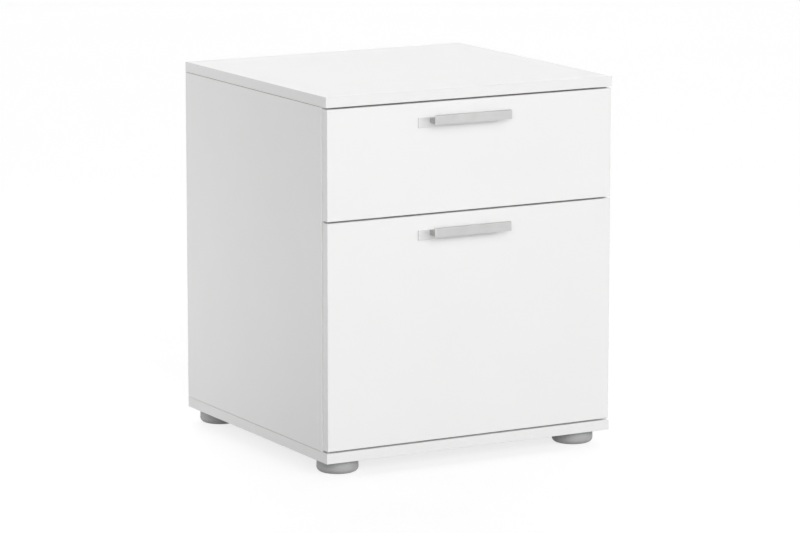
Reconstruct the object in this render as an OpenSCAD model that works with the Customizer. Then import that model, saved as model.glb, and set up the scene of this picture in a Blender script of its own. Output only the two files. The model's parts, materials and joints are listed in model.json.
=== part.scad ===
// Two-drawer filing cabinet built from white coated boards.
// Origin: centre of the whole object's footprint, on the floor. +X is to the right of
// someone facing the drawers, +Y runs to the back, +Z is up. Sizes are in millimetres.

/* [Cabinet] */
// Overall width of the top and base
cabinet_w = 466; // [440:1:520]
// Depth from the face of the drawer fronts to the rear edges
cabinet_d = 440; // [440:1:500]
// Height of the cabinet without its feet
cabinet_h = 520; // [510:1:540]
// Thickness of the coated boards
board_t = 15; // [15:0.5:18]
// Thickness of the hardboard back and drawer bottoms
sheet_t = 3; // [2.5:0.5:4]
// Visible gap above and below each drawer front
front_gap = 2.5; // [2:0.5:4]
// Gap between a shut drawer front and the edges of the cabinet sides
shut_gap = 0.5; // [0.5:0.5:3]
// How far a drawer front stays inside the cabinet's width on each side
front_inset = 1.5; // [0.5:0.5:3]
// Height of the lower drawer front
lower_front_h = 325; // [322:1:332]

/* [Drawers] */
// Thickness of the drawer sides and drawer backs
box_t = 12; // [11:0.5:14]
// Height of the lower drawer's sides
lower_box_h = 260; // [240:1:275]
// Height of the upper drawer's sides
upper_box_h = 110; // [90:1:120]
// How far each drawer opens
drawer_travel = 380; // [300:5:390]

/* [Slides] */
// Length of a closed telescopic slide
slide_l = 400; // [400:1:402]
// Space that a slide takes between cabinet and drawer
slide_t = 13; // [13:0.1:13.2]
// Height of a slide
slide_h = 45; // [45:0.5:47]
// Thickness of the slide's rolled steel
steel_t = 1.2; // [1:0.1:1.3]
// Diameter of a bearing ball
ball_d = 4.5; // [4.3:0.1:4.5]
// Balls in one strip of a cage
balls_per_strip = 6; // [4:1:8]

/* [Handles] */
// Distance between the two handle screws
handle_spacing = 96; // [64:32:96]
// How far the handle's middle is left of the cabinet's middle
handle_shift = 17; // [0:1:30]
// Drop from a front's top edge to the handle plate
handle_drop = 21; // [15:1:30]
// Height of the handle plate
plate_h = 14; // [13.5:0.5:18]
// Thickness of the handle plate
plate_t = 2; // [1:0.5:3]
// Length of the grip bar
grip_l = 122; // [110:1:140]
// Height of the grip bar
grip_h = 13; // [12:0.5:16]
// Thickness of the grip bar
grip_t = 5; // [4:0.5:6]
// How far the grip bar stands out from the drawer front
grip_reach = 22; // [17:0.5:25]

/* [Feet] */
// Diameter of a foot
foot_d = 60; // [50:1:62]
// Height of a foot
foot_h = 20.5; // [18:0.5:25]
// Radius of the rounding at a foot's lower edge
foot_round = 7; // [3:0.5:8]

/* [Hidden] */
$fn = 64;
eps = 0.1;
white = [0.93, 0.93, 0.93];
hardboard = [0.90, 0.90, 0.88];
zinc = [0.72, 0.74, 0.76];
satin_metal = [0.80, 0.80, 0.80];
beech = [0.80, 0.66, 0.45];
foot_grey = [0.62, 0.62, 0.62];

// The drawers are numbered, and each list below holds the lower drawer's value first.
lower = 0;
upper = 1;
left = -1;
right = 1;
upper_front_z = board_t + lower_front_h + 2 * front_gap;
upper_front_h = cabinet_h - board_t - front_gap - upper_front_z;
front_z = [board_t + front_gap, upper_front_z];
front_h = [lower_front_h, upper_front_h];
// Space under a drawer's sides, above the front's lower edge
box_lift = [12.5, 15];
box_z = front_z + box_lift;
box_h = [lower_box_h, upper_box_h];
// Height of a slide's centre line above the underside of the drawer's sides
slide_rise = [70, 38];
slide_z = box_z + slide_rise;

// Cabinet
side_y = board_t + shut_gap;
inner_w = cabinet_w - 2 * board_t;
groove_d = 6;
groove_play = 0.2;
groove_spare = 0.5;
back_inset = 12;
back_y = cabinet_d - back_inset;

// Drawers
box_w = inner_w - 2 * slide_t;
box_d = slide_l + 5;
box_inner_w = box_w - 2 * box_t;
bottom_lift = 10;
side_mid_x = box_w / 2 - box_t / 2;

// Slides
slide_y = side_y + 3;
ball_play = 0.15;
race_r = ball_d / 2 + ball_play;
race_lip = 1;
race_half_w = sqrt(race_r * race_r - race_lip * race_lip);
outer_row = [5.6, slide_h / 2 - race_r - steel_t];
row_step_u = 2.6;
row_gap = 2 * race_r + steel_t;
inner_row = outer_row + [row_step_u, -sqrt(row_gap * row_gap - row_step_u * row_step_u)];
middle_web_u = 2.2;
cage_t = 0.7;
cage_w = 6.6;
cage_spare = 15;
cage_l = slide_l - drawer_travel / 2 - cage_spare;
cage_start = drawer_travel / 4 + cage_spare / 2;
ball_pitch = cage_l / balls_per_strip;
slide_screw_y = [37, 197, 357];

// Fasteners
screw_play = 0.1;
cam_d = 15;
cam_reach = 24;
cam_floor = 3;
bolt_d = 6;
bolt_neck_d = 3.6;
bolt_head_l = 2.5;
bolt_neck_l = cam_d / 2 - bolt_head_l + screw_play;
bolt_thread_d = 5;
bolt_thread_l = 10;
dowel_d = 8;
dowel_l = 30;
dowel_in_face = 10;
cam_inset = 45;
dowel_inset = 85;

// Handles
stem_w = 8;
stem_h = 7;
stem_bore_l = 8;
screw_d = 4;
plate_left = 18;
plate_right = 6;
handle_half = handle_spacing / 2 + stem_w / 2;
handle_x = -handle_shift;
stem_rise = 3;
grip_rise = 5;

// Feet
foot_side_inset = 38;
foot_front_inset = 40;
foot_back_inset = 30;
foot_recess_d = 12;
foot_recess_l = 12.5;

// Hanging-file rails
rail_t = 1.5;
rail_below = 18;
rail_above = 8;
rail_end_gap = 3;
rail_screw_y = [40, 200, 360];

// ---- placing ----

// Every part is drawn with X from the cabinet's centre plane, Y from the face of the
// drawer fronts and Z from the underside of the base, then moved to the object's origin.
module in_cabinet() {
    translate([0, (grip_reach - cabinet_d) / 2, foot_h]) children();
}

// Parts are drawn on the right, and mirrored for the left
module on_side(side) {
    if (side == left) mirror([1, 0, 0]) children();
    else children();
}

module on_both_sides() {
    for (side = [left, right]) on_side(side) children();
}

// Joints between a cabinet side and the base and top. +Z runs into the side's edge, and
// -X is the side's inner face.
module at_carcass_joints(inset) {
    for (y = [side_y + inset, back_y - inset]) {
        translate([cabinet_w / 2 - board_t / 2, y, board_t]) children();
        translate([cabinet_w / 2 - board_t / 2, y, cabinet_h - board_t]) mirror([0, 0, 1]) children();
    }
}

// Joints between a drawer side and the drawer front, with +Z into the side's front edge
module at_front_joints(drawer) {
    for (z = [box_z[drawer] + 30, box_z[drawer] + box_h[drawer] - 22])
        translate([side_mid_x, board_t, z]) rotate([-90, 0, 0]) children();
}

// Screws that hold a drawer side to the drawer back. +Z runs inwards from the outer face.
module at_back_screws(drawer) {
    for (z = [box_z[drawer] + 25, box_z[drawer] + box_h[drawer] - 20])
        translate([box_w / 2, board_t + box_d - box_t / 2, z]) rotate([0, -90, 0]) children();
}

module at_feet() {
    for (side = [left, right])
        for (y = [foot_front_inset, cabinet_d - foot_back_inset])
            translate([side * (cabinet_w / 2 - foot_side_inset), y, 0]) children();
}

// A slide's own axes: X from the cabinet side towards the drawer, Y up, Z along the slide
module at_slide(drawer) {
    translate([inner_w / 2, slide_y, slide_z[drawer]]) rotate([90, 0, 180]) children();
}

// Screw places along a slide, with +Z towards the cabinet side
module along_slide(drawer) {
    for (y = slide_screw_y)
        translate([inner_w / 2, slide_y + y, slide_z[drawer]]) rotate([0, 90, 0]) children();
}

module at_handle_screws(drawer) {
    for (x = [-1, 1] * handle_spacing / 2)
        translate([handle_x + x, 0, stem_z(drawer)]) rotate([90, 0, 0]) children();
}

module at_rail_screws() {
    for (y = rail_screw_y)
        translate([box_inner_w / 2, board_t + y, box_z[lower] + lower_box_h - rail_below / 2])
            rotate([0, 90, 0]) children();
}

function plate_z(drawer) = front_z[drawer] + front_h[drawer] - handle_drop - plate_h / 2;
function stem_z(drawer) = plate_z(drawer) + stem_rise;
function grip_z(drawer) = plate_z(drawer) + grip_rise;

// ---- fasteners ----

// A wood screw whose head rests on Z = 0 and whose shank runs up +Z
module screw(d, l, head_d, head_l) {
    tip_l = d;
    cylinder(d = d, h = l - tip_l);
    translate([0, 0, l - tip_l]) cylinder(d1 = d, d2 = d / 4, h = tip_l);
    difference() {
        translate([0, 0, -head_l]) cylinder(d = head_d, h = head_l);
        cross_recess(-head_l, head_d * 0.6, head_l * 0.6);
    }
}

// The hole that a screw fills
module screw_hole(d, l) {
    translate([0, 0, -eps]) cylinder(d = d + 2 * screw_play, h = l + 2 * eps);
}

// A cross-shaped driver recess, cut upwards from height z
module cross_recess(z, span, depth) {
    slot = span / 5;
    for (turn = [0, 90])
        rotate([0, 0, turn]) translate([-span / 2, -slot / 2, z - eps]) cube([span, slot, depth + eps]);
}

// The turning cam of a flat-pack fitting, in a board of thickness t
module cam_lock(t) {
    difference() {
        translate([-t / 2, 0, cam_reach]) rotate([0, 90, 0])
            cylinder(d = cam_d - 2 * screw_play, h = t - cam_floor - screw_play);
        cylinder(d = bolt_neck_d + 4 * screw_play, h = cam_reach);
        translate([0, 0, cam_reach - bolt_head_l - screw_play])
            cylinder(d = bolt_d + 4 * screw_play, h = bolt_head_l + 4 * screw_play);
        translate([-t / 2, 0, cam_reach]) rotate([0, 90, 0]) cross_recess(0, 8, 2);
    }
}

// Pocket for the cam and bore for the bolt, cut in the board that holds the cam
module cam_pocket(t) {
    translate([-t / 2 - eps, 0, cam_reach]) rotate([0, 90, 0]) cylinder(d = cam_d, h = t - cam_floor + eps);
    translate([0, 0, -eps]) cylinder(d = bolt_d + 2 * screw_play, h = cam_reach + eps);
}

// The bolt that a cam draws in: its thread is in the other board's face, below Z = 0
module cam_bolt() {
    neck_z = cam_reach - bolt_head_l - bolt_neck_l;
    translate([0, 0, -bolt_thread_l]) cylinder(d = bolt_thread_d, h = bolt_thread_l);
    cylinder(d = bolt_d, h = neck_z);
    translate([0, 0, neck_z]) cylinder(d = bolt_neck_d, h = bolt_neck_l);
    translate([0, 0, cam_reach - bolt_head_l]) cylinder(d = bolt_d, h = bolt_head_l);
}

module cam_bolt_hole() {
    translate([0, 0, -bolt_thread_l - screw_play])
        cylinder(d = bolt_thread_d + 2 * screw_play, h = bolt_thread_l + 2 * eps);
}

module dowel() {
    translate([0, 0, -dowel_in_face]) cylinder(d = dowel_d, h = dowel_l);
}

module dowel_hole() {
    translate([0, 0, -dowel_in_face - screw_play])
        cylinder(d = dowel_d + 2 * screw_play, h = dowel_l + 2 * screw_play);
}

// ---- cabinet ----

// The groove that holds the back sheet, as one frame through all four boards
module back_groove() {
    w = inner_w + 2 * groove_d;
    h = cabinet_h - 2 * board_t + 2 * groove_d;
    translate([-w / 2, back_y - groove_play / 2, board_t - groove_d]) cube([w, sheet_t + groove_play, h]);
}

module top_or_base(z) {
    difference() {
        translate([-cabinet_w / 2, 0, z]) cube([cabinet_w, cabinet_d, board_t]);
        back_groove();
        on_both_sides() {
            at_carcass_joints(cam_inset) cam_bolt_hole();
            at_carcass_joints(dowel_inset) dowel_hole();
        }
        at_feet() screw_hole(screw_d, 9);
    }
}

module top_panel() {
    color(white) top_or_base(cabinet_h - board_t);
}

module base_panel() {
    color(white) top_or_base(0);
}

module side_panel(side) {
    color(white) on_side(side) difference() {
        translate([inner_w / 2, side_y, board_t])
            cube([board_t, cabinet_d - side_y, cabinet_h - 2 * board_t]);
        back_groove();
        at_carcass_joints(cam_inset) cam_pocket(board_t);
        at_carcass_joints(dowel_inset) dowel_hole();
        for (drawer = [lower, upper]) along_slide(drawer) screw_hole(screw_d, 10);
    }
}

module back_panel() {
    tongue = groove_d - groove_spare;
    w = inner_w + 2 * tongue;
    h = cabinet_h - 2 * board_t + 2 * tongue;
    color(hardboard) translate([-w / 2, back_y, board_t - tongue]) cube([w, sheet_t, h]);
}

module carcass_cam_locks() {
    color(zinc) on_both_sides() at_carcass_joints(cam_inset) cam_lock(board_t);
}

module carcass_cam_bolts() {
    color(zinc) on_both_sides() at_carcass_joints(cam_inset) cam_bolt();
}

module carcass_dowels() {
    color(beech) on_both_sides() at_carcass_joints(dowel_inset) dowel();
}

// ---- feet ----

module foot(side, y) {
    r = foot_d / 2;
    color(foot_grey) translate([side * (cabinet_w / 2 - foot_side_inset), y, -foot_h]) difference() {
        rotate_extrude() {
            square([r - foot_round, foot_h]);
            translate([0, foot_round]) square([r, foot_h - foot_round]);
            intersection() {
                translate([r - foot_round, foot_round]) circle(r = foot_round);
                square([r, foot_h]);
            }
        }
        translate([0, 0, -eps]) cylinder(d = foot_recess_d, h = foot_recess_l + eps);
        cylinder(d = screw_d + 4 * screw_play, h = foot_h + eps);
    }
}

module foot_screws() {
    color(zinc) at_feet() translate([0, 0, foot_recess_l - foot_h]) screw(screw_d, 16, 8, 2.5);
}

// ---- slides, as sections with X away from the cabinet side and Y up ----

// Curved strip of steel over a ball row (face = 1) or under it (face = -1)
module race(row, face) {
    r = race_r + steel_t;
    translate(row) intersection() {
        difference() {
            circle(r = r);
            circle(r = race_r);
        }
        translate([-r, face > 0 ? race_lip : -r]) square([2 * r, r - race_lip]);
    }
}

module mirrored_rows() {
    children();
    mirror([0, 1, 0]) children();
}

module outer_section() {
    flange_u = outer_row[0] - race_half_w;
    flange_v = outer_row[1] + race_lip;
    mirrored_rows() {
        square([steel_t, flange_v + steel_t]);
        translate([0, flange_v]) square([flange_u, steel_t]);
        race(outer_row, 1);
    }
}

module middle_section() {
    mirrored_rows() {
        translate([middle_web_u, 0]) square([steel_t, outer_row[1] - race_lip]);
        race(outer_row, -1);
        race(inner_row, 1);
    }
}

module inner_section() {
    flange_v = inner_row[1] - race_lip;
    flange_u = inner_row[0] + race_half_w;
    mirrored_rows() {
        translate([slide_t - steel_t, 0]) square([steel_t, flange_v]);
        translate([flange_u, flange_v - steel_t]) square([slide_t - flange_u, steel_t]);
        race(inner_row, -1);
    }
}

module outer_slide(drawer, side) {
    color(zinc) on_side(side) difference() {
        at_slide(drawer) linear_extrude(slide_l) outer_section();
        along_slide(drawer) translate([0, 0, -steel_t]) screw_hole(screw_d, steel_t);
    }
}

module middle_slide(drawer, side) {
    color(zinc) on_side(side) difference() {
        at_slide(drawer) linear_extrude(slide_l) middle_section();
        along_slide(drawer) translate([0, 0, -slide_t]) cylinder(d = 9, h = slide_t - middle_web_u + eps);
    }
}

module inner_slide(drawer, side) {
    color(zinc) on_side(side) difference() {
        at_slide(drawer) linear_extrude(slide_l) inner_section();
        along_slide(drawer) translate([0, 0, -slide_t]) screw_hole(screw_d, steel_t);
    }
}

module outer_slide_screws() {
    color(zinc) on_both_sides() for (drawer = [lower, upper])
        along_slide(drawer) translate([0, 0, -steel_t]) screw(screw_d, 11, 7, 0.7);
}

module inner_slide_screws(drawer) {
    color(zinc) on_both_sides() along_slide(drawer)
        translate([0, 0, -slide_t + steel_t]) mirror([0, 0, 1]) screw(screw_d, 11, 7, 1.5);
}

// Strips that keep the balls apart, with their balls, between two members of a slide
module ball_cages(drawer, row) {
    color(zinc) on_both_sides() at_slide(drawer) mirrored_rows() translate([row[0], row[1], cage_start]) {
        difference() {
            translate([-cage_w / 2, -cage_t / 2, 0]) cube([cage_w, cage_t, cage_l]);
            along_cage() sphere(d = ball_d + screw_play);
        }
        along_cage() sphere(d = ball_d);
    }
}

module along_cage() {
    for (i = [0:balls_per_strip - 1]) translate([0, 0, (i + 0.5) * ball_pitch]) children();
}

// ---- drawers ----

// The groove that holds a drawer's bottom sheet, cut in the front, sides and back
module bottom_groove(drawer) {
    w = box_inner_w + 2 * groove_d;
    l = box_d - box_t + 2 * groove_d;
    translate([-w / 2, board_t - groove_d, box_z[drawer] + bottom_lift])
        cube([w, l, sheet_t + groove_play]);
}

module drawer_front(drawer) {
    color(white) difference() {
        translate([front_inset - cabinet_w / 2, 0, front_z[drawer]])
            cube([cabinet_w - 2 * front_inset, board_t, front_h[drawer]]);
        bottom_groove(drawer);
        on_both_sides() at_front_joints(drawer) cam_bolt_hole();
        at_handle_screws(drawer) translate([0, 0, -board_t]) screw_hole(screw_d, board_t);
    }
}

module drawer_side(drawer, side) {
    color(white) on_side(side) difference() {
        translate([box_inner_w / 2, board_t, box_z[drawer]]) cube([box_t, box_d, box_h[drawer]]);
        bottom_groove(drawer);
        at_front_joints(drawer) cam_pocket(box_t);
        at_back_screws(drawer) box_screw_hole();
        along_slide(drawer) translate([0, 0, -slide_t]) mirror([0, 0, 1]) screw_hole(screw_d, 10);
        if (drawer == lower) at_rail_screws() screw_hole(screw_d, 9);
    }
}

module drawer_back(drawer) {
    color(white) difference() {
        translate([-box_inner_w / 2, board_t + box_d - box_t, box_z[drawer]])
            cube([box_inner_w, box_t, box_h[drawer]]);
        bottom_groove(drawer);
        on_both_sides() at_back_screws(drawer) box_screw_hole();
    }
}

module drawer_bottom(drawer) {
    tongue = groove_d - groove_spare;
    w = box_inner_w + 2 * tongue;
    l = box_d - box_t + 2 * tongue;
    z = box_z[drawer] + bottom_lift + groove_play / 2;
    color(hardboard) translate([-w / 2, board_t - tongue, z]) cube([w, l, sheet_t]);
}

module drawer_cam_locks(drawer) {
    color(zinc) on_both_sides() at_front_joints(drawer) cam_lock(box_t);
}

module drawer_cam_bolts(drawer) {
    color(zinc) on_both_sides() at_front_joints(drawer) cam_bolt();
}

// Long screw whose head is sunk flush in the drawer side's outer face
module box_screws(drawer) {
    color(zinc) on_both_sides() at_back_screws(drawer) translate([0, 0, 2.5]) screw(screw_d, 35, 7, 2.5);
}

module box_screw_hole() {
    screw_hole(screw_d, 38);
    translate([0, 0, -eps]) cylinder(d = 7 + 2 * screw_play, h = 2.5 + eps);
}

// ---- handles ----

module handle_plate(drawer) {
    color(satin_metal) difference() {
        translate([handle_x - handle_half - plate_left, -plate_t, plate_z(drawer) - plate_h / 2])
            cube([2 * handle_half + plate_left + plate_right, plate_t, plate_h]);
        at_handle_screws(drawer) screw_hole(screw_d, plate_t);
    }
}

// The bar that the hand holds, with its two stems, which are tapped for the screws
module handle_grip(drawer) {
    color(satin_metal) difference() {
        union() {
            translate([handle_x - handle_half, -grip_reach, grip_z(drawer) - grip_h / 2])
                cube([grip_l, grip_t, grip_h]);
            at_handle_screws(drawer) translate([-stem_w / 2, -stem_h / 2, plate_t])
                cube([stem_w, stem_h, grip_reach - grip_t - plate_t]);
        }
        at_handle_screws(drawer) translate([0, 0, plate_t]) screw_hole(screw_d, stem_bore_l);
    }
}

module handle_screws(drawer) {
    shank = board_t + plate_t + stem_bore_l - 1;
    color(zinc) at_handle_screws(drawer) translate([0, 0, -board_t]) screw(screw_d, shank, 8, 2.5);
}

// ---- hanging-file rails ----

module file_rail(side) {
    color(zinc) on_side(side) difference() {
        translate([
            box_inner_w / 2 - rail_t,
            board_t + rail_end_gap,
            box_z[lower] + lower_box_h - rail_below
        ]) cube([rail_t, box_d - box_t - 2 * rail_end_gap, rail_below + rail_above]);
        at_rail_screws() translate([0, 0, -rail_t]) screw_hole(screw_d, rail_t);
    }
}

module file_rail_screws() {
    color(zinc) on_both_sides() at_rail_screws() translate([0, 0, -rail_t]) screw(screw_d, 10, 7, 1.5);
}

// ---- the nodes ----

front_foot_y = foot_front_inset;
back_foot_y = cabinet_d - foot_back_inset;

in_cabinet() top_panel();
in_cabinet() base_panel();
in_cabinet() side_panel(left);  // left_side_panel
in_cabinet() side_panel(right);  // right_side_panel
in_cabinet() back_panel();
in_cabinet() carcass_cam_locks();
in_cabinet() carcass_cam_bolts();
in_cabinet() carcass_dowels();
in_cabinet() foot(left, front_foot_y);  // front_left_foot
in_cabinet() foot(right, front_foot_y);  // front_right_foot
in_cabinet() foot(left, back_foot_y);  // back_left_foot
in_cabinet() foot(right, back_foot_y);  // back_right_foot
in_cabinet() foot_screws();
in_cabinet() outer_slide(upper, left);  // upper_left_outer_slide
in_cabinet() outer_slide(upper, right);  // upper_right_outer_slide
in_cabinet() outer_slide(lower, left);  // lower_left_outer_slide
in_cabinet() outer_slide(lower, right);  // lower_right_outer_slide
in_cabinet() outer_slide_screws();
in_cabinet() middle_slide(upper, left);  // upper_left_middle_slide
in_cabinet() middle_slide(upper, right);  // upper_right_middle_slide
in_cabinet() middle_slide(lower, left);  // lower_left_middle_slide
in_cabinet() middle_slide(lower, right);  // lower_right_middle_slide
in_cabinet() ball_cages(upper, outer_row);  // upper_outer_ball_cages
in_cabinet() ball_cages(upper, inner_row);  // upper_inner_ball_cages
in_cabinet() ball_cages(lower, outer_row);  // lower_outer_ball_cages
in_cabinet() ball_cages(lower, inner_row);  // lower_inner_ball_cages
in_cabinet() drawer_front(upper);  // upper_drawer_front
in_cabinet() drawer_side(upper, left);  // upper_drawer_left_side
in_cabinet() drawer_side(upper, right);  // upper_drawer_right_side
in_cabinet() drawer_back(upper);  // upper_drawer_back
in_cabinet() drawer_bottom(upper);  // upper_drawer_bottom
in_cabinet() handle_plate(upper);  // upper_handle_plate
in_cabinet() handle_grip(upper);  // upper_handle_grip
in_cabinet() handle_screws(upper);  // upper_handle_screws
in_cabinet() inner_slide(upper, left);  // upper_left_inner_slide
in_cabinet() inner_slide(upper, right);  // upper_right_inner_slide
in_cabinet() inner_slide_screws(upper);  // upper_inner_slide_screws
in_cabinet() drawer_cam_locks(upper);  // upper_drawer_cam_locks
in_cabinet() drawer_cam_bolts(upper);  // upper_drawer_cam_bolts
in_cabinet() box_screws(upper);  // upper_drawer_box_screws
in_cabinet() drawer_front(lower);  // lower_drawer_front
in_cabinet() drawer_side(lower, left);  // lower_drawer_left_side
in_cabinet() drawer_side(lower, right);  // lower_drawer_right_side
in_cabinet() drawer_back(lower);  // lower_drawer_back
in_cabinet() drawer_bottom(lower);  // lower_drawer_bottom
in_cabinet() handle_plate(lower);  // lower_handle_plate
in_cabinet() handle_grip(lower);  // lower_handle_grip
in_cabinet() handle_screws(lower);  // lower_handle_screws
in_cabinet() inner_slide(lower, left);  // lower_left_inner_slide
in_cabinet() inner_slide(lower, right);  // lower_right_inner_slide
in_cabinet() inner_slide_screws(lower);  // lower_inner_slide_screws
in_cabinet() drawer_cam_locks(lower);  // lower_drawer_cam_locks
in_cabinet() drawer_cam_bolts(lower);  // lower_drawer_cam_bolts
in_cabinet() box_screws(lower);  // lower_drawer_box_screws
in_cabinet() file_rail(left);  // left_file_rail
in_cabinet() file_rail(right);  // right_file_rail
in_cabinet() file_rail_screws();
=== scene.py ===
import json
import math

import bmesh
import bpy
from mathutils import Matrix, Vector


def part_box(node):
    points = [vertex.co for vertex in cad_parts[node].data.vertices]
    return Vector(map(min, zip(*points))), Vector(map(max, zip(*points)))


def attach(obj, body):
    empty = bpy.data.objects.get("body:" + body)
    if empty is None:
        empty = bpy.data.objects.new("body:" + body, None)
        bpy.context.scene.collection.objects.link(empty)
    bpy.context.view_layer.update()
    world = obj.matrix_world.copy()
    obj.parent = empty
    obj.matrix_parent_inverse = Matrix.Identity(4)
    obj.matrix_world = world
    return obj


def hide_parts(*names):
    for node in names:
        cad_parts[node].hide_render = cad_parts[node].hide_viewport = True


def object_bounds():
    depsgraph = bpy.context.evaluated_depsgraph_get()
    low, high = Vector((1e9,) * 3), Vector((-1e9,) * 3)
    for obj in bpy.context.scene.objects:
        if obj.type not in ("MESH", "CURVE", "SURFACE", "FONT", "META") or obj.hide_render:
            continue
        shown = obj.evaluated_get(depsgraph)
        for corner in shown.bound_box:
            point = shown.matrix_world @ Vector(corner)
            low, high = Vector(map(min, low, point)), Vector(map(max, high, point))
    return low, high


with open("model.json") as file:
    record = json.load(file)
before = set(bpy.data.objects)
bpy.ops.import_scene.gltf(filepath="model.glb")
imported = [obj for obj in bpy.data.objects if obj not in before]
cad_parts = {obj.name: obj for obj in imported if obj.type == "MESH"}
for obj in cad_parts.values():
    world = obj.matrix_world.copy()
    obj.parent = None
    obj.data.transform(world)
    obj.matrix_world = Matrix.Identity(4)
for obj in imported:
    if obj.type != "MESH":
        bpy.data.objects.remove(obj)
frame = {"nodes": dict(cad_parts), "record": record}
cad_low, cad_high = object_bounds()

# The looks of a small filing cabinet in white coated board. Each board, sheet, handle, foot, slide
# and rail is a piece made from the mesh or the box of its CAD node, so it lies where the node lies.
# Boards get edge bands, bent and milled edges get their radius, and every surface gets a procedural
# material. Lengths below are in millimetres unless a name says otherwise.

MM = 0.001
WELD = 1e-6
FLAT = math.radians(0.5)
AXES = {"x": 0, "y": 1, "z": 2}
MIDDLE = (cad_low + cad_high) / 2

record = frame["record"]
BODY_OF = {name: body for body, names in record["behaviour"]["bodies"].items() for name in names}
SLOT_OF = {row["node"]: row["material_slot"] for row in record["subparts"]}
DRAWERS = ("upper", "lower")
SIDES = ("left", "right")


# ---- shader nodes ----

def plug(tree, value, socket):
    """Links another node's socket, or sets a plain number or colour."""
    if isinstance(value, bpy.types.NodeSocket):
        tree.links.new(value, socket)
    else:
        socket.default_value = value


def shader_node(tree, kind, inputs=None, **settings):
    made = tree.nodes.new("ShaderNode" + kind)
    for name, value in settings.items():
        setattr(made, name, value)
    for key, value in (inputs or {}).items():
        plug(tree, value, made.inputs[key])
    return made


def place(tree, stretch=(1, 1, 1)):
    """The point on the object in millimetres, with patterns drawn out along stretched axes."""
    coordinates = shader_node(tree, "TexCoord").outputs["Object"]
    scale = [1 / (MM * factor) for factor in stretch]
    return shader_node(tree, "Mapping", {"Vector": coordinates, "Scale": scale}).outputs[0]


def noise(tree, size, detail=2.0, stretch=(1, 1, 1)):
    """Soft noise whose blobs are about size millimetres across."""
    inputs = {"Vector": place(tree, stretch), "Scale": 1 / size, "Detail": detail}
    return shader_node(tree, "TexNoise", inputs).outputs[0]


def cells(tree, size, stretch=(1, 1, 1), output="Color"):
    """Random cells about size millimetres across."""
    inputs = {"Vector": place(tree, stretch), "Scale": 1 / size}
    return shader_node(tree, "TexVoronoi", inputs).outputs[output]


def spread(tree, value, low, high, source=(0.3, 0.7)):
    """Noise, which mostly lies between the two source values, spread from low to high."""
    inputs = {0: value, 1: source[0], 2: source[1], 3: low, 4: high}
    return shader_node(tree, "MapRange", inputs).outputs[0]


def product(tree, first, second):
    return shader_node(tree, "Math", {0: first, 1: second}, operation="MULTIPLY").outputs[0]


def total(tree, first, second):
    return shader_node(tree, "Math", {0: first, 1: second}, operation="ADD").outputs[0]


def mixed(tree, amount, low, high):
    """A colour from low to high, as amount goes from 0 to 1."""
    inputs = {0: amount, 6: low, 7: high}
    return shader_node(tree, "Mix", inputs, data_type="RGBA").outputs[2]


def mask(tree, name):
    """A number that the mesh itself carries, such as how exposed an edge is to wear."""
    return shader_node(tree, "Attribute", attribute_name=name).outputs["Fac"]


def bump(tree, height, depth, below=None):
    """Relief of that depth in millimetres, on top of the relief below it."""
    inputs = {"Height": height, "Distance": depth * MM, "Strength": 1.0}
    if below is not None:
        inputs["Normal"] = below
    return shader_node(tree, "Bump", inputs).outputs[0]


def grey(value, warmth=0.0):
    return (value * (1 + warmth), value, value * (1 - warmth), 1.0)


def material(name, paint, **choices):
    """A Principled material whose inputs are what paint() returns."""
    made = bpy.data.materials.new(name)
    made.use_nodes = True
    tree = made.node_tree
    shader = tree.nodes["Principled BSDF"]
    for key, value in paint(tree, **choices).items():
        plug(tree, value, shader.inputs[key])
    return made


# ---- materials ----

def board_white(tree, white, lines=None):
    """The tone of coated board: a faint cloud, fine specks, and a touch of grime at worn edges."""
    cloud = spread(tree, noise(tree, 90, detail=3), 0, 1)
    tone = mixed(tree, cloud, grey(white * 0.993, 0.002), grey(white * 1.005, 0.002))
    specks = spread(tree, noise(tree, 1.1, detail=1), 0, 0.25, source=(0.35, 0.75))
    tone = mixed(tree, specks, tone, grey(white * 0.94, 0.004))
    if lines is not None:
        tone = mixed(tree, spread(tree, lines, 0, 0.35), tone, grey(white * 0.93, 0.006))
    grime = product(tree, mask(tree, "wear"), spread(tree, noise(tree, 14, detail=4), 0.0, 0.5))
    return mixed(tree, grime, tone, grey(white * 0.80, 0.02))


def melamine(tree):
    """Pressed melamine coating, with the fine pearl texture of its press plate."""
    pearl = noise(tree, 0.9, detail=1)
    ripple = noise(tree, 22, detail=2)
    relief = bump(tree, pearl, 0.012, bump(tree, ripple, 0.002))
    return {
        "Base Color": board_white(tree, 0.80),
        "Roughness": spread(tree, noise(tree, 30, detail=4), 0.43, 0.47),
        "Specular IOR Level": 0.45,
        "Normal": relief,
    }


def edge_band(tree, axis):
    """Plastic band along one axis, with the fine lines that its scraper leaves."""
    stretch = [1, 1, 1]
    stretch[AXES[axis]] = 60
    lines = noise(tree, 0.5, detail=2, stretch=stretch)
    return {
        "Base Color": board_white(tree, 0.79, lines),
        "Roughness": spread(tree, noise(tree, 12, detail=3), 0.34, 0.46),
        "Specular IOR Level": 0.45,
        "Normal": bump(tree, lines, 0.012),
    }


def particle_board(tree):
    """Raw particle board, which shows inside the holes and grooves and at hidden ends."""
    chips = cells(tree, 1.6, stretch=(1, 2.2, 1))
    chip = shader_node(tree, "SeparateColor", {0: chips}).outputs[0]
    light = mixed(tree, chip, (0.36, 0.24, 0.13, 1), (0.62, 0.47, 0.30, 1))
    dust = spread(tree, noise(tree, 0.7, detail=4), 0, 0.7)
    return {
        "Base Color": mixed(tree, dust, light, (0.46, 0.33, 0.20, 1)),
        "Roughness": spread(tree, chip, 0.80, 0.95, source=(0, 1)),
        "Normal": bump(tree, total(tree, chip, dust), 0.12),
    }


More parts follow.
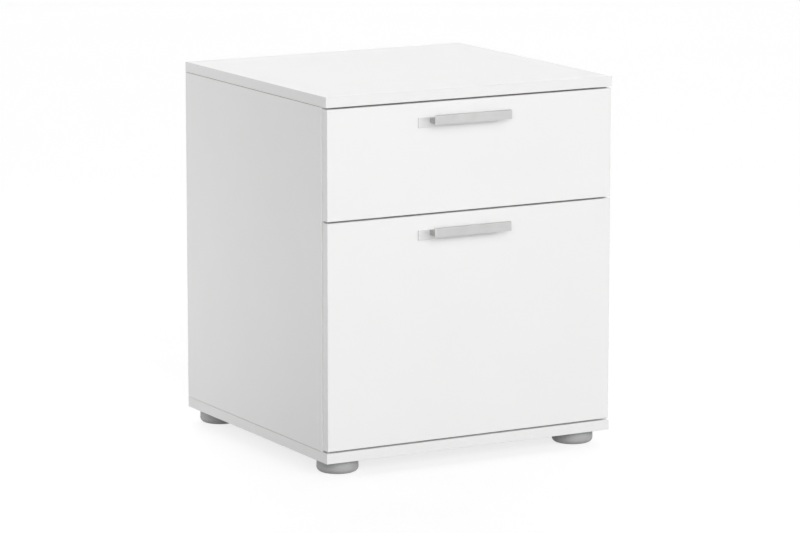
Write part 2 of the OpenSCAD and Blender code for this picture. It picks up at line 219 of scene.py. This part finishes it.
def sheet_lacquer(tree, white=0.77):
    """White lacquer on hardboard, through which a little of the fibre shows."""
    fibre = noise(tree, 2.2, detail=5, stretch=(1, 1, 3))
    cloud = spread(tree, noise(tree, 80, detail=3), 0, 1)
    tone = mixed(tree, cloud, grey(white * 0.97, 0.006), grey(white * 1.01, 0.006))
    tone = mixed(tree, spread(tree, fibre, 0, 0.4), tone, grey(white * 0.91, 0.012))
    return {
        "Base Color": tone,
        "Roughness": spread(tree, noise(tree, 25, detail=4), 0.44, 0.58),
        "Normal": bump(tree, fibre, 0.03),
    }


def sheet_reverse(tree, white=0.70, spacing=1.7):
    """The reverse of hardboard, embossed by the wire screen that it was pressed on."""
    wires = []
    for axis in (0, 2):
        spot = shader_node(tree, "SeparateXYZ", {0: place(tree)}).outputs[axis]
        phase = product(tree, spot, 2 * math.pi / spacing)
        wires.append(shader_node(tree, "Math", {0: phase}, operation="SINE").outputs[0])
    screen = product(tree, *wires)
    cloud = spread(tree, noise(tree, 60, detail=4), 0, 1)
    tone = mixed(tree, cloud, grey(white * 0.98, 0.012), grey(white * 1.01, 0.012))
    dimples = spread(tree, screen, 0, 0.12, source=(-0.4, 1))
    return {
        "Base Color": mixed(tree, dimples, tone, grey(white * 0.84, 0.02)),
        "Roughness": spread(tree, noise(tree, 20, detail=4), 0.58, 0.72),
        "Normal": bump(tree, screen, 0.02, bump(tree, noise(tree, 0.8, detail=4), 0.02)),
    }


def satin_metal(tree, tone=0.535):
    """Satin aluminium, brushed along the bar, brighter at its edge roundings: partly worn by hands,
    partly a painted highlight.
    """
    brushed = noise(tree, 0.35, detail=3, stretch=(70, 1, 1))
    cloud = spread(tree, noise(tree, 18, detail=3), 0, 1)
    metal = mixed(tree, cloud, grey(tone * 0.95, 0.004), grey(tone * 1.04, 0.004))
    metal = mixed(tree, spread(tree, brushed, 0, 0.5), metal, grey(tone * 0.86, 0.004))
    # Edge roundings are brightened: partly wear from hands, partly a painted highlight
    rubbed_and_sheen = product(tree, mask(tree, "wear"), spread(tree, noise(tree, 7, detail=3), 0.3, 1.0))
    rough = total(tree, spread(tree, brushed, 0.36, 0.48), product(tree, rubbed_and_sheen, -0.12))
    return {
        "Base Color": mixed(tree, rubbed_and_sheen, metal, grey(tone * 1.25, 0.004)),
        "Metallic": 0.25,
        "Roughness": rough,
        "Normal": bump(tree, brushed, 0.006),
    }


def rolled_steel(tree, tone=0.56):
    """Zinc-plated strip steel, with rolling lines along the slide and a faint zinc bloom."""
    rolling = noise(tree, 0.5, detail=3, stretch=(1, 90, 1))
    bloom = shader_node(tree, "SeparateColor", {0: cells(tree, 5)}).outputs[0]
    metal = mixed(tree, bloom, (tone * 0.93, tone * 0.96, tone, 1), (tone, tone * 1.02, tone * 1.06, 1))
    metal = mixed(tree, spread(tree, rolling, 0, 0.5), metal, grey(tone * 0.78, -0.01))
    worn = product(tree, mask(tree, "wear"), spread(tree, noise(tree, 5, detail=3), 0.2, 1.0))
    return {
        "Base Color": mixed(tree, worn, metal, grey(tone * 1.3, -0.01)),
        "Metallic": 1.0,
        "Roughness": total(tree, spread(tree, rolling, 0.26, 0.40), product(tree, bloom, 0.06)),
        "Normal": bump(tree, rolling, 0.008),
    }


def polished_steel(tree, tone=0.62):
    """Bearing balls: bright, with a film of grease that breaks up the shine."""
    film = spread(tree, noise(tree, 1.2, detail=3), 0, 1)
    return {
        "Base Color": mixed(tree, film, grey(tone), grey(tone * 0.82, 0.03)),
        "Metallic": 1.0,
        "Roughness": spread(tree, film, 0.10, 0.22, source=(0, 1)),
        "Normal": bump(tree, noise(tree, 0.4, detail=2), 0.002),
    }


def plated_fitting(tree, tone=0.58):
    """Die-cast and turned fittings with dull zinc plating."""
    grain = noise(tree, 0.35, detail=3)
    stain = spread(tree, noise(tree, 3, detail=4), 0, 1)
    metal = mixed(tree, stain, (tone * 0.86, tone * 0.88, tone * 0.92, 1), grey(tone * 1.05, -0.01))
    return {
        "Base Color": metal,
        "Metallic": 1.0,
        "Roughness": spread(tree, grain, 0.32, 0.50),
        "Normal": bump(tree, grain, 0.02),
    }


def foot_plastic(tree, tone=0.375):
    """Moulded grey plastic with a spark-eroded texture, scuffed near the floor."""
    texture = noise(tree, 0.7, detail=2)
    flow = spread(tree, noise(tree, 16, detail=3, stretch=(1, 1, 0.5)), 0, 1)
    tint = mixed(tree, flow, grey(tone * 0.94, -0.004), grey(tone * 1.05, -0.004))
    scuffs = product(tree, mask(tree, "wear"), spread(tree, noise(tree, 4, detail=5), 0, 0.6))
    rough = total(tree, spread(tree, texture, 0.46, 0.58), product(tree, scuffs, 0.2))
    return {
        "Base Color": mixed(tree, scuffs, tint, grey(tone * 1.35, 0.01)),
        "Roughness": rough,
        "Normal": bump(tree, texture, 0.03),
    }


def beech(tree, axis="z"):
    """Beech rod: long pores and a gentle change from early to late wood."""
    stretch = [1, 1, 1]
    stretch[AXES[axis]] = 25
    pores = noise(tree, 0.5, detail=4, stretch=stretch)
    rings = spread(tree, noise(tree, 2.5, detail=1, stretch=stretch), 0, 1)
    wood = mixed(tree, rings, (0.60, 0.40, 0.23, 1), (0.70, 0.50, 0.31, 1))
    return {
        "Base Color": mixed(tree, spread(tree, pores, 0, 0.6), wood, (0.42, 0.26, 0.14, 1)),
        "Roughness": spread(tree, pores, 0.55, 0.72),
        "Normal": bump(tree, pores, 0.05),
    }


def studio_floor(tree):
    """A white floor with faint, soft shadows. Its glow shows, but lights nothing from below."""
    tooth = noise(tree, 3, detail=3)
    tone = mixed(tree, spread(tree, noise(tree, 400, detail=2), 0, 1), grey(0.275), grey(0.285))
    bounced = shader_node(tree, "LightPath").outputs["Is Diffuse Ray"]
    return {
        "Base Color": tone,
        "Roughness": spread(tree, tooth, 0.85, 0.95),
        "Specular IOR Level": 0.2,
        "Emission Color": grey(1.0),
        "Emission Strength": spread(tree, bounced, FLOOR_GLOW, 0, source=(0, 1)),
        "Normal": bump(tree, tooth, 0.01),
    }


MELAMINE = material("melamine_white", melamine)
BANDS = {axis: material("edge_band_" + axis, edge_band, axis=axis) for axis in AXES}
RAW_BOARD = material("particle_board_raw", particle_board)
LACQUER = material("hardboard_lacquer", sheet_lacquer)
REVERSE = material("hardboard_reverse", sheet_reverse)
SATIN = material("handle_satin_aluminium", satin_metal)
# A darker copy of the satin metal for the stems behind the bar: painted shade
STEM_SHADE = material("handle_stem_painted_shade", satin_metal, tone=0.42)
PLATE = material("handle_plate_aluminium", satin_metal, tone=0.74)
# A brighter copy of the satin metal for the bar's end faces: a painted highlight
END_HIGHLIGHT = material("handle_end_painted_highlight", satin_metal, tone=0.90)
STEEL = material("slide_zinc_steel", rolled_steel)
BALLS = material("ball_polished_steel", polished_steel)
FITTING = material("fitting_zinc", plated_fitting)
FOOT = material("foot_grey_plastic", foot_plastic)
BEECH = material("dowel_beech", beech)


# ---- meshes ----

def cad_mesh(name):
    """A CAD node's own mesh, with its corners welded and each flat face in one piece."""
    mesh = bmesh.new()
    mesh.from_mesh(frame["nodes"][name].data)
    bmesh.ops.remove_doubles(mesh, verts=mesh.verts, dist=WELD)
    bmesh.ops.dissolve_limit(mesh, angle_limit=FLAT, verts=mesh.verts, edges=mesh.edges)
    return mesh


def on_plane(vert, axis, level):
    return abs(vert.co[axis] - level) < WELD * 10


def lies_on(part, axis, level):
    """Whether a whole face or edge lies in that plane."""
    return all(on_plane(vert, axis, level) for vert in part.verts)


def block(mesh, low, high):
    """A closed box between two corners, as eight new vertices and six faces."""
    corners = [[(low, high)[bit][axis] for axis, bit in enumerate(bits)] for bits in BLOCK_CORNERS]
    verts = [mesh.verts.new(corner) for corner in corners]
    for face in BLOCK_FACES:
        mesh.faces.new([verts[i] for i in face])
    return verts


BLOCK_CORNERS = [(x, y, z) for x in (0, 1) for y in (0, 1) for z in (0, 1)]
BLOCK_FACES = ((0, 1, 3, 2), (4, 6, 7, 5), (0, 4, 5, 1), (2, 3, 7, 6), (0, 2, 6, 4), (1, 5, 7, 3))


def round_edges(mesh, edges, radius, segments, finish=-1):
    """Rounds the edges, and marks the middle of each rounding as open to wear."""
    made = bmesh.ops.bevel(
        mesh, geom=list(edges), offset=radius * MM, segments=segments,
        profile=0.5, affect="EDGES", clamp_overlap=True, material=finish,
    )
    rounding = set(made["faces"])
    wear = wear_layer(mesh)
    for vert in {v for face in rounding for v in face.verts}:
        if all(face in rounding for face in vert.link_faces):
            vert[wear] = 1.0


def wear_layer(mesh):
    return mesh.verts.layers.float.get("wear") or mesh.verts.layers.float.new("wear")


def corner_edges(mesh, least_length, least_angle=math.radians(50)):
    """Outward corners at least that many millimetres long."""
    return [
        edge for edge in mesh.edges
        if edge.is_manifold and edge.is_convex
        and edge.calc_length() > least_length * MM
        and edge.calc_face_angle() > least_angle
    ]


def add_piece(name, mesh, materials, nodes, smooth=math.radians(40)):
    """Makes the piece and puts it on the body of its first CAD node."""
    data = bpy.data.meshes.new(name)
    wear_layer(mesh)
    bmesh.ops.recalc_face_normals(mesh, faces=mesh.faces)
    mesh.to_mesh(data)
    mesh.free()
    for spare in ("custom_normal", "sharp_face", "sharp_edge"):
        if spare in data.attributes:
            data.attributes.remove(data.attributes[spare])
    for one in materials:
        data.materials.append(one)
    data.shade_smooth()
    data.set_sharp_from_angle(angle=smooth)
    piece = bpy.data.objects.new(name, data)
    bpy.context.scene.collection.objects.link(piece)
    weighted = piece.modifiers.new("even_shading", "WEIGHTED_NORMAL")
    weighted.keep_sharp = True
    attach(piece, BODY_OF[nodes[0]])
    return piece


# ---- boards ----

BAND_T = 0.8
BAND_ROUND = 0.2
END_ROUND = 0.3
END_GAP = 0.6
HAIRLINE = 0.1
SHEET_ROUND = 0.3
BOARD_EDGE = 20


def board(name, thin, banded, butted=()):
    """A coated board, with bands on some edges and a sawn end at each edge that butts on a board.

    Edges have names such as "x-" for the left one."""
    low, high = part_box(name)
    thin_axis = AXES[thin]
    edges = [(AXES[edge[0]], edge[1] == "+") for edge in banded]
    ends = [(AXES[edge[0]], edge[1] == "+") for edge in butted]
    board_core(name, low, high, thin_axis, edges, ends)
    for axis, at_high in ends:
        (low, high)[at_high][axis] += inwards(at_high, END_GAP)
    board_bands(name, low, high, thin_axis, edges)


def inwards(at_high, depth):
    """A step into the board from its low or high edge."""
    return (-depth if at_high else depth) * MM


def draw_in(mesh, axis, level, step):
    for vert in mesh.verts:
        if on_plane(vert, axis, level):
            vert.co[axis] += step


def board_core(name, low, high, thin_axis, edges, ends):
    mesh = cad_mesh(name)
    for axis, at_high in edges:
        draw_in(mesh, axis, (low, high)[at_high][axis], inwards(at_high, BAND_T))
    for axis, at_high in ends:
        draw_in(mesh, axis, (low, high)[at_high][axis], inwards(at_high, END_GAP))
    for face in mesh.faces:
        coated = any(lies_on(face, thin_axis, corner[thin_axis]) for corner in (low, high))
        face.material_index = 0 if coated else 1
    banded_levels = [(a, (low, high)[h][a] + inwards(h, BAND_T)) for a, h in edges]
    beside_band = [
        edge for edge in corner_edges(mesh, BOARD_EDGE)
        if any(lies_on(edge, a, level) for a, level in banded_levels)
    ]
    round_edges(mesh, beside_band, HAIRLINE, 1, finish=0)
    round_edges(mesh, corner_edges(mesh, BOARD_EDGE, math.radians(80)), END_ROUND, 3, finish=0)
    wear = wear_layer(mesh)
    for vert in mesh.verts:
        vert[wear] = 0.0
    piece = add_piece(name + "_core", mesh, [MELAMINE, RAW_BOARD], [name])
    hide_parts(name)


def board_bands(name, low, high, thin_axis, edges):
    """The bands of a board, in the order that they are glued on: later ones stop at earlier ones."""
    mesh = bmesh.new()
    for order, (axis, at_high) in enumerate(edges):
        along = 3 - axis - thin_axis
        corners = [Vector(low), Vector(high)]
        outer = corners[at_high][axis]
        corners[not at_high][axis] = outer + inwards(at_high, BAND_T)
        for other, end_high in edges[:order]:
            if other == along:
                corners[end_high][along] += inwards(end_high, BAND_T)
        verts = block(mesh, *corners)
        for face in {f for v in verts for f in v.link_faces}:
            face.material_index = along
        past = [corners[h][along] for other, h in edges[order + 1:] if other == along]
        round_edges(mesh, outer_corners(verts, axis, outer, along, past), BAND_ROUND, 3)
    add_piece(name + "_edge_bands", mesh, [BANDS[axis] for axis in AXES], [name])


def outer_corners(verts, axis, outer, along, past):
    """The long outer edges of one band, and those at ends that run past a later band."""
    return [
        edge for edge in {e for v in verts for e in v.link_edges}
        if lies_on(edge, axis, outer) and (
            abs((edge.verts[0].co - edge.verts[1].co)[along]) > WELD
            or any(lies_on(edge, along, level) for level in past)
        )
    ]


def boards():
    for name in ("top_panel", "base_panel"):
        board(name, "z", ["y-", "y+", "x-", "x+"])
    for side in SIDES:
        board(side + "_side_panel", "x", ["y-", "y+"], butted=["z-", "z+"])
    for drawer in DRAWERS:
        board(drawer + "_drawer_front", "y", ["x-", "x+", "z-", "z+"])
        for side in SIDES:
            board(f"{drawer}_drawer_{side}_side", "x", ["z+", "y+"])
        board(drawer + "_drawer_back", "y", ["z+"])


def sheet(name, thin, reverse_high):
    """A hardboard sheet, lacquered on its better face and screen-marked on the other."""
    mesh = cad_mesh(name)
    axis = AXES[thin]
    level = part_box(name)[reverse_high][axis]
    for face in mesh.faces:
        face.material_index = 1 if lies_on(face, axis, level) else 0
    round_edges(mesh, corner_edges(mesh, BOARD_EDGE), SHEET_ROUND, 2)
    piece = add_piece(name + "_sheet", mesh, [LACQUER, REVERSE], [name])
    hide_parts(name)


# ---- metal and plastic ----

# Roundings, and the shortest edges that get one
PLATE_ROUND = 0.3
GRIP_ROUND = 0.5
SLIDE_ROUND = 0.25
RAIL_ROUND = 0.4
SHORT_EDGE = 3
RAIL_EDGE = 10
SLIDE_EDGE = 100
SLIDE_ANGLE = math.radians(75)
# Thickness of a grip bar, as in the CAD
GRIP_T = 5


def metal_part(name, finish, radius, segments, least_length, least_angle=math.radians(50)):
    """A metal piece with its corners rounded off."""
    mesh = cad_mesh(name)
    round_edges(mesh, corner_edges(mesh, least_length, least_angle), radius, segments)
    piece = add_piece(name + "_metal", mesh, [finish], [name])
    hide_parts(name)


def handle_grip(name):
    """A grip bar with a painted highlight on its end faces and painted shade on the stems behind it."""
    mesh = cad_mesh(name)
    low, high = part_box(name)
    behind = low.y + (GRIP_T + HAIRLINE) * MM
    bmesh.ops.bisect_plane(
        mesh, geom=mesh.verts[:] + mesh.edges[:] + mesh.faces[:],
        plane_co=(0, behind, 0), plane_no=(0, 1, 0), dist=WELD,
    )
    for face in mesh.faces:
        on_stem = face.calc_center_median().y > behind
        cut = any(lies_on(face, AXES["x"], end) for end in (low.x, high.x))
        # End faces of the bar get the painted highlight, and stem faces get the painted shade
        face.material_index = 2 if on_stem else 1 if cut else 0
    bar_edges = [
        edge for edge in corner_edges(mesh, SHORT_EDGE)
        if all(v.co.y < behind - WELD for v in edge.verts)
    ]
    # These roundings carry the wear mask, which the satin metal brightens: partly wear, partly a
    # painted highlight
    round_edges(mesh, bar_edges, GRIP_ROUND, 3, finish=0)
    piece = add_piece(name + "_metal", mesh, [SATIN, END_HIGHLIGHT, STEM_SHADE], [name])
    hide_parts(name)


def islands(mesh):
    """The separate parts of a mesh, each as a set of faces."""
    left = set(mesh.faces)
    while left:
        island, queue = set(), [left.pop()]
        while queue:
            face = queue.pop()
            island.add(face)
            near = {f for edge in face.edges for f in edge.link_faces} & left
            left -= near
            queue.extend(near)
        yield island


# A ball is shorter than this along the slide, and a cage strip is longer
BALL_SPAN = 6


def ball_cage(name):
    """The strips of a slide's ball cages, with their balls in polished steel."""
    mesh = cad_mesh(name)
    for island in islands(mesh):
        ys = [v.co.y for face in island for v in face.verts]
        is_ball = max(ys) - min(ys) < BALL_SPAN * MM
        for face in island:
            face.material_index = 1 if is_ball else 0
    piece = add_piece(name + "_set", mesh, [STEEL, BALLS], [name])
    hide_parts(name)


# A foot's outside is rounded below and tapers upwards. Its underside has a recess round the screw.
FOOT_SEGMENTS = 128
FOOT_ROUND = 7
FOOT_TOP_ROUND = 0.6
FOOT_TAPER = 0.5
FOOT_RECESS = (6, 12.5)
FOOT_RECESS_LIP = ((0, 1.0), (0.6, 0.2), (1.2, 0))
FOOT_FLAT_MARGIN = 6
FOOT_BORE = 2.4


def arc(centre, radius, start, end, steps):
    """Points on an arc in the profile's plane, with the angles in degrees."""
    angles = [math.radians(start + (end - start) * i / steps) for i in range(steps + 1)]
    return [(centre[0] + radius * math.cos(a), centre[1] + radius * math.sin(a)) for a in angles]


def foot_profile(radius, height):
    """Radius and height from the edge of the screw recess, round the outside, to the bore."""
    recess_r, recess_h = FOOT_RECESS
    top_r = radius - FOOT_TAPER
    points = [(recess_r, recess_h)]
    points += [(recess_r + outwards, up) for outwards, up in FOOT_RECESS_LIP]
    points += [(radius - FOOT_ROUND - FOOT_FLAT_MARGIN, 0)]
    points += arc((radius - FOOT_ROUND, FOOT_ROUND), FOOT_ROUND, -90, 0, 12)
    points += arc((top_r - FOOT_TOP_ROUND, height - FOOT_TOP_ROUND), FOOT_TOP_ROUND, 0, 90, 4)
    points += [(FOOT_BORE, height), (FOOT_BORE, recess_h)]
    return points


def foot(name):
    """A turned plastic foot, with its wear mask strongest at the foot's lower edge."""
    low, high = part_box(name)
    centre = (low + high) / 2
    radius = (high.x - low.x) / 2 / MM
    height = (high.z - low.z) / MM
    mesh = bmesh.new()
    wear = wear_layer(mesh)
    rings = []
    for r, h in foot_profile(radius, height):
        ring = []
        for i in range(FOOT_SEGMENTS):
            turn = 2 * math.pi * i / FOOT_SEGMENTS
            spot = (centre.x + r * MM * math.cos(turn), centre.y + r * MM * math.sin(turn))
            vert = mesh.verts.new((*spot, low.z + h * MM))
            vert[wear] = max(0.0, 1 - h / FOOT_ROUND)
            ring.append(vert)
        rings.append(ring)
    for ring, following in zip(rings, rings[1:] + rings[:1]):
        for i in range(FOOT_SEGMENTS):
            j = (i + 1) % FOOT_SEGMENTS
            mesh.faces.new((ring[i], ring[j], following[j], following[i]))
    piece = add_piece(name + "_moulding", mesh, [FOOT], [name])
    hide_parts(name)


def repaint(name, finish):
    """Keeps a CAD node as it is, with a better material."""
    data = frame["nodes"][name].data
    data.materials.clear()
    data.materials.append(finish)


def metalwork():
    for drawer in DRAWERS:
        metal_part(drawer + "_handle_plate", PLATE, PLATE_ROUND, 1, SHORT_EDGE)
        handle_grip(drawer + "_handle_grip")
        for side in SIDES:
            for member in ("outer", "middle", "inner"):
                name = f"{drawer}_{side}_{member}_slide"
                metal_part(name, STEEL, SLIDE_ROUND, 2, SLIDE_EDGE, SLIDE_ANGLE)
        for row in ("outer", "inner"):
            ball_cage(f"{drawer}_{row}_ball_cages")
    for side in SIDES:
        metal_part(side + "_file_rail", STEEL, RAIL_ROUND, 3, RAIL_EDGE)


def feet():
    for end in ("front", "back"):
        for side in SIDES:
            foot(f"{end}_{side}_foot")


def fasteners():
    for name, slot in SLOT_OF.items():
        if slot == "zinc_fitting":
            repaint(name, FITTING)
        elif slot == "beech_dowel":
            repaint(name, BEECH)


# ---- studio ----

def direction(azimuth, elevation):
    """The way out from the object, as angles in degrees: 0, 0 is straight in front of it."""
    turn, rise = math.radians(azimuth), math.radians(elevation)
    return Vector((
        math.sin(turn) * math.cos(rise),
        -math.cos(turn) * math.cos(rise),
        math.sin(rise),
    ))


# The photo's camera, from a fit to the cabinet's edges: angles in degrees
AIM_SHIFT = Vector((3.2, 4.4, -21.7)) * MM
AZIMUTH = -29.17
ELEVATION = 10.33
ROLL = 0.03
DISTANCE_M = 5.92
LENS = 181.5
CLIP_END_M = 200


def studio_camera():
    data = bpy.data.cameras.new("camera")
    data.lens = LENS
    data.clip_end = CLIP_END_M
    camera = bpy.data.objects.new("camera", data)
    back = direction(AZIMUTH, ELEVATION)
    spot = Matrix.Translation(MIDDLE + AIM_SHIFT + back * DISTANCE_M)
    turn = (-back).to_track_quat("-Z", "Y").to_matrix().to_4x4()
    camera.matrix_world = spot @ turn @ Matrix.Rotation(math.radians(ROLL), 4, "Z")
    bpy.context.scene.collection.objects.link(camera)
    bpy.context.scene.camera = camera


FLOOR_HALF_M = 60
FLOOR_DROP_M = 0.0002
FLOOR_GLOW = 0.762
SKY_GLOW = 0.24
SKY_FADE = (0.08, 0.30)
SUN_DISTANCE_M = 3


def studio_ground():
    mesh = bmesh.new()
    bmesh.ops.create_grid(mesh, x_segments=8, y_segments=8, size=FLOOR_HALF_M)
    data = bpy.data.meshes.new("studio_floor")
    mesh.to_mesh(data)
    mesh.free()
    data.materials.append(material("studio_floor", studio_floor))
    ground = bpy.data.objects.new("studio_floor", data)
    ground.location.z = cad_low.z - FLOOR_DROP_M
    bpy.context.scene.collection.objects.link(ground)


def link_light(name, data, spot):
    """Puts a light at the spot, facing the middle of the object."""
    made = bpy.data.objects.new(name, data)
    made.location = spot
    made.rotation_mode = "QUATERNION"
    made.rotation_quaternion = (MIDDLE - Vector(spot)).to_track_quat("-Z", "Y")
    bpy.context.scene.collection.objects.link(made)


def far_softbox(name, azimuth, elevation, radiance, width=60):
    """A wide soft light so far off that it lights object and floor evenly; angles in degrees."""
    data = bpy.data.lights.new(name, "SUN")
    data.energy = radiance * math.pi
    data.angle = math.radians(width)
    link_light(name, data, MIDDLE + direction(azimuth, elevation) * SUN_DISTANCE_M)


def near_softbox(name, spot_m, size_m, watts):
    """A square softbox beside the object, which shades off across its faces."""
    data = bpy.data.lights.new(name, "AREA")
    data.energy = watts
    data.shape = "SQUARE"
    data.size = size_m
    link_light(name, data, spot_m)


def studio_sweep():
    """The white surroundings: bright at the horizon, and dimmer overhead."""
    world = bpy.data.worlds.new("studio")
    world.use_nodes = True
    tree = world.node_tree
    sky = shader_node(tree, "TexCoord").outputs["Generated"]
    height = shader_node(tree, "SeparateXYZ", {0: sky}).outputs[2]
    backdrop = tree.nodes["Background"]
    backdrop.inputs["Color"].default_value = grey(1.0)
    strength = spread(tree, height, 1.0, SKY_GLOW, source=SKY_FADE)
    plug(tree, strength, backdrop.inputs["Strength"])
    bpy.context.scene.world = world


def studio_light():
    far_softbox("back_softbox", azimuth=150, elevation=30, radiance=0.46)
    far_softbox("front_softbox", azimuth=0, elevation=25, radiance=0.30, width=40)
    near_softbox("right_softbox", spot_m=(3.2, -4.2, 1.7), size_m=1.5, watts=67.0)
    near_softbox("left_softbox", spot_m=(-1.9, -3.6, 1.3), size_m=1.5, watts=54.0)
    near_softbox("back_left_softbox", spot_m=(-1.5, 1.2, 0.9), size_m=0.8, watts=7.2)
    near_softbox("low_left_softbox", spot_m=(-0.8, 0.35, 0.08), size_m=0.4, watts=1.0)
    studio_sweep()
    bpy.context.scene.view_settings.view_transform = "Standard"


studio_camera()
studio_ground()
studio_light()
boards()
sheet("back_panel", "y", True)
for drawer_name in DRAWERS:
    sheet(drawer_name + "_drawer_bottom", "z", False)
metalwork()
feet()
fasteners()
